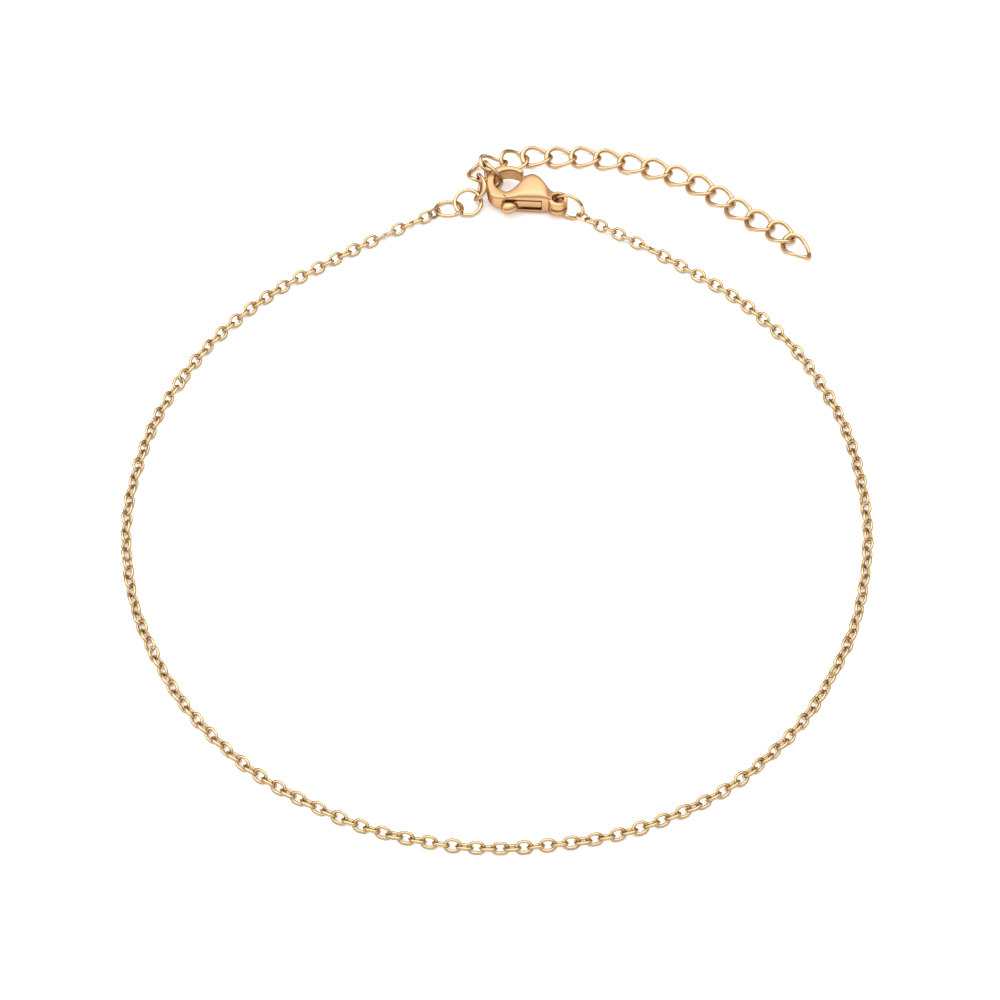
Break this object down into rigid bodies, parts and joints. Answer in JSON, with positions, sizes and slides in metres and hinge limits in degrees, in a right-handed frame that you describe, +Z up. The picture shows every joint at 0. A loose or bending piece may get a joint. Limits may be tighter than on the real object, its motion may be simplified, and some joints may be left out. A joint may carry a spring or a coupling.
{
  "type": "chain anklet",
  "caption": "Fine gold-toned chain anklet, closed round by a lobster clasp that is hooked through a link of an extender chain with a drop-shaped end link",
  "frame": {"origin": "centre of the bounding box on the surface that the anklet lies on", "axes": "Z up; Y from the near side of the loop to the clasp and extender at the far side; X to the right as the picture shows it"},
  "size_m": [0.078, 0.0914, 0.0037],
  "materials": {
    "chain_metal": "polished, warm pinkish gold plating",
    "extender_metal": "polished, warm pinkish gold plating",
    "ring_metal": "polished, warm pinkish gold plating",
    "clasp_metal": "polished, warm pinkish gold plating",
    "lever_metal": "polished, warm pinkish gold plating",
    "pin_metal": "polished, warm pinkish gold plating"
  },
  "bodies": {
    "anklet": {"anklet_chain": "chain_metal", "chain_end_link_1": "chain_metal", "chain_end_link_2": "chain_metal", "clasp_body": "clasp_metal", "clasp_pin": "pin_metal", "clasp_ring": "ring_metal", "extender_link_01": "extender_metal", "extender_link_02": "extender_metal", "extender_link_03": "extender_metal", "extender_link_04": "extender_metal", "extender_link_05": "extender_metal", "extender_link_06": "extender_metal", "extender_link_07": "extender_metal", "extender_link_08": "extender_metal", "extender_link_09": "extender_metal", "extender_link_10": "extender_metal", "extender_link_11": "extender_metal", "extender_link_12": "extender_metal", "extender_link_13": "extender_metal", "extender_link_14": "extender_metal", "extender_link_15": "extender_metal", "extender_link_16": "extender_metal", "extender_link_17": "extender_metal", "extender_link_18": "extender_metal", "jump_ring_a": "ring_metal", "jump_ring_b": "ring_metal"},
    "lever": {"clasp_lever": "lever_metal"}
  },
  "joints": [
    {"name": "clasp_lever_hinge", "type": "hinge", "parent": "anklet", "child": "lever", "pos_m": [0.00432, 0.03711, 0.0016], "axis": [0, 0, 1], "range_deg": [0, 28], "stiffness_Nm_per_rad": 0.008, "springref_deg": -14.32}
  ]
}
